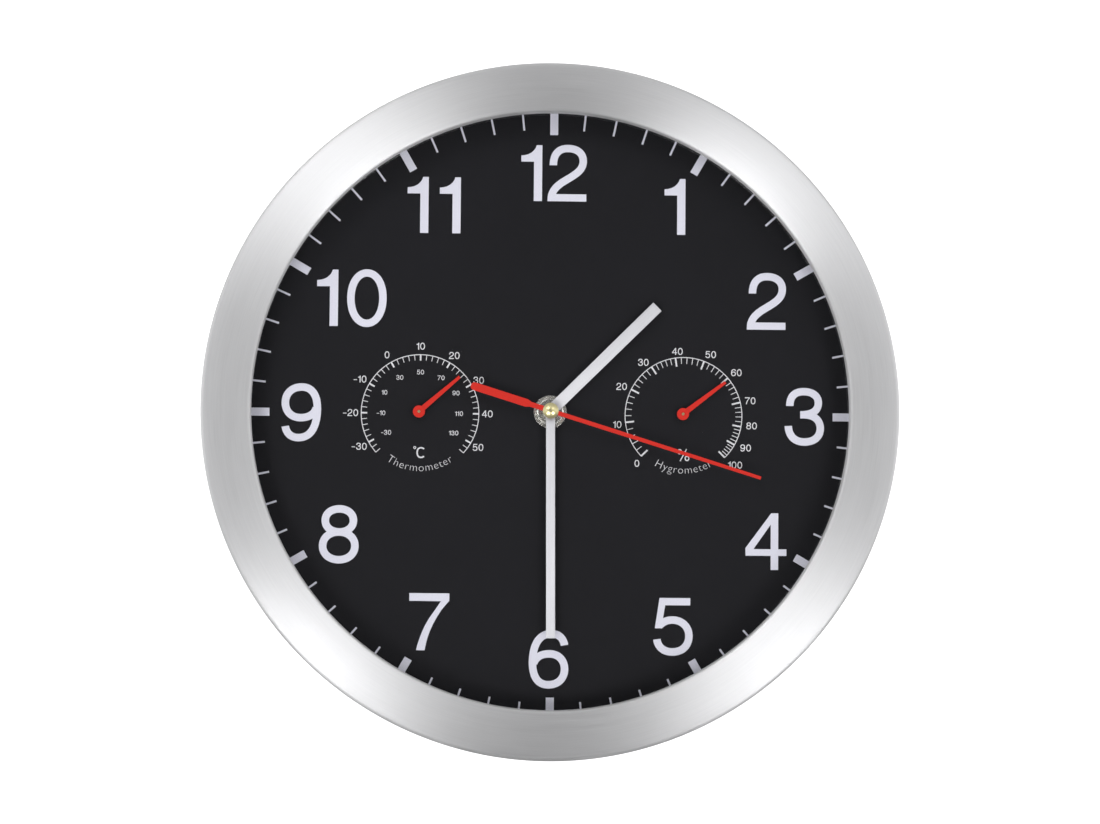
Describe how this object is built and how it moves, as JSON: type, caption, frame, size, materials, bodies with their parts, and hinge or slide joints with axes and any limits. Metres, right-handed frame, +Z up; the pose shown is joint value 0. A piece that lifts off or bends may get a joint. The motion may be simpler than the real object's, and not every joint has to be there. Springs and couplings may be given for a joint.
{
  "type": "wall clock",
  "caption": "Round wall clock with a brushed metal rim, white numerals on a black dial, thermometer and hygrometer scales, and a quartz movement behind.",
  "frame": {"origin": "centre of the standing ring's back face, on the wall plane and on the hands' axis", "axes": "+Z up, -Y towards the viewer, +Y into the wall, +X to the viewer's right"},
  "size_m": [0.3, 0.04, 0.3],
  "materials": {
    "rim_aluminium": "brushed round the ring",
    "clear_glass": "clear and polished",
    "case_plastic": "fine moulded grain",
    "dial_black": "flat satin black",
    "print_white": "satin screen print",
    "steel": "plain bright steel",
    "movement_plastic": "moulded",
    "nickel": "bright nickel plating",
    "rubber": "plain",
    "board": "green solder mask",
    "gear_plastic": "natural white moulding",
    "copper": "copper-coloured",
    "iron": "stamped sheet",
    "magnet": "sintered magnet",
    "battery_wrap": "plain sleeve",
    "hand_aluminium": "fine satin",
    "red_paint": "satin red",
    "brass": "polished pale brass"
  },
  "bodies": {
    "case": {"rim": "rim_aluminium", "glass": "clear_glass", "spacer_ring": "case_plastic", "dial": "dial_black", "hour_numerals": "print_white", "minute_track": "print_white", "thermometer_scale": "print_white", "hygrometer_scale": "print_white", "back_cover": "case_plastic", "back_screws": "steel", "thermometer_cup": "case_plastic", "thermometer_bush": "brass", "thermometer_spiral": "brass", "hygrometer_cup": "case_plastic", "hygrometer_bush": "brass", "hygrometer_spiral": "copper", "movement_front_case": "movement_plastic", "movement_rear_case": "movement_plastic", "threaded_bush": "nickel", "rubber_washer": "rubber", "dial_washer": "nickel", "hand_nut": "nickel", "circuit_board": "board", "quartz_crystal": "nickel", "coil_bobbin": "gear_plastic", "coil_winding": "copper", "coil_core": "iron", "stator": "iron", "contact_positive": "nickel", "contact_negative": "nickel"},
    "minute_works": {"minute_pipe": "gear_plastic", "minute_hand": "hand_aluminium"},
    "hour_works": {"hour_wheel": "gear_plastic", "hour_hand": "hand_aluminium"},
    "motion_works": {"motion_wheel": "gear_plastic"},
    "setting_knob": {"set_knob": "movement_plastic"},
    "second_works": {"second_wheel": "gear_plastic", "second_hand": "red_paint", "second_cap": "brass"},
    "motor_rotor": {"rotor": "magnet"},
    "intermediate_works": {"intermediate_wheel": "gear_plastic"},
    "third_works": {"third_wheel": "gear_plastic"},
    "minute_drive": {"minute_gear": "gear_plastic"},
    "thermometer_needle": {"thermometer_arbor": "brass", "thermometer_pointer": "red_paint"},
    "hygrometer_needle": {"hygrometer_arbor": "brass", "hygrometer_pointer": "red_paint"},
    "cell": {"battery": "battery_wrap"}
  },
  "joints": [
    {"name": "minute_turn", "type": "hinge", "parent": "case", "child": "minute_works", "pos_m": [0, -0.0265, 0], "axis": [0, 1, 0], "continuous": true},
    {"name": "hour_turn", "type": "hinge", "parent": "case", "child": "hour_works", "pos_m": [0, -0.0245, 0], "axis": [0, 1, 0], "continuous": true},
    {"name": "motion_turn", "type": "hinge", "parent": "case", "child": "motion_works", "pos_m": [0.00677, -0.0143, -0.00246], "axis": [0, 1, 0], "continuous": true},
    {"name": "knob_turn", "type": "hinge", "parent": "case", "child": "setting_knob", "pos_m": [0.01563, -0.003, -0.00403], "axis": [0, 1, 0], "continuous": true},
    {"name": "second_turn", "type": "hinge", "parent": "case", "child": "second_works", "pos_m": [0, -0.0284, 0], "axis": [0, 1, 0], "continuous": true},
    {"name": "intermediate_turn", "type": "hinge", "parent": "case", "child": "intermediate_works", "pos_m": [0.00689, -0.0083, 0.00579], "axis": [0, 1, 0], "continuous": true},
    {"name": "rotor_turn", "type": "hinge", "parent": "case", "child": "motor_rotor", "pos_m": [0.01039, -0.006, 0.01185], "axis": [0, 1, 0], "continuous": true},
    {"name": "third_turn", "type": "hinge", "parent": "case", "child": "third_works", "pos_m": [-0.0085, -0.0113, 0], "axis": [0, 1, 0], "continuous": true},
    {"name": "minute_drive_turn", "type": "hinge", "parent": "case", "child": "minute_drive", "pos_m": [0, -0.0128, 0], "axis": [0, 1, 0], "continuous": true},
    {"name": "thermometer_swing", "type": "hinge", "parent": "case", "child": "thermometer_needle", "pos_m": [-0.0569, -0.0224, -0.0001], "axis": [0, 1, 0], "range_deg": [-181, 83], "stiffness_Nm_per_rad": 0.0005},
    {"name": "hygrometer_swing", "type": "hinge", "parent": "case", "child": "hygrometer_needle", "pos_m": [0.0577, -0.0224, -0.001], "axis": [0, 1, 0], "range_deg": [-186.5, 82.3], "stiffness_Nm_per_rad": 0.0005},
    {"name": "battery_slide", "type": "slide", "parent": "case", "child": "cell", "axis": [0, 1, 0], "range_m": [0, 0.03]}
  ],
  "couplings": [
    {"joint": "hour_turn", "follows": "minute_turn", "ratio": 0.083333},
    {"joint": "motion_turn", "follows": "minute_turn", "ratio": -0.33333},
    {"joint": "knob_turn", "follows": "minute_turn", "ratio": 0.5},
    {"joint": "intermediate_turn", "follows": "second_turn", "ratio": -5},
    {"joint": "rotor_turn", "follows": "second_turn", "ratio": 30},
    {"joint": "third_turn", "follows": "second_turn", "ratio": -0.13333},
    {"joint": "minute_drive_turn", "follows": "second_turn", "ratio": 0.016667}
  ]
}
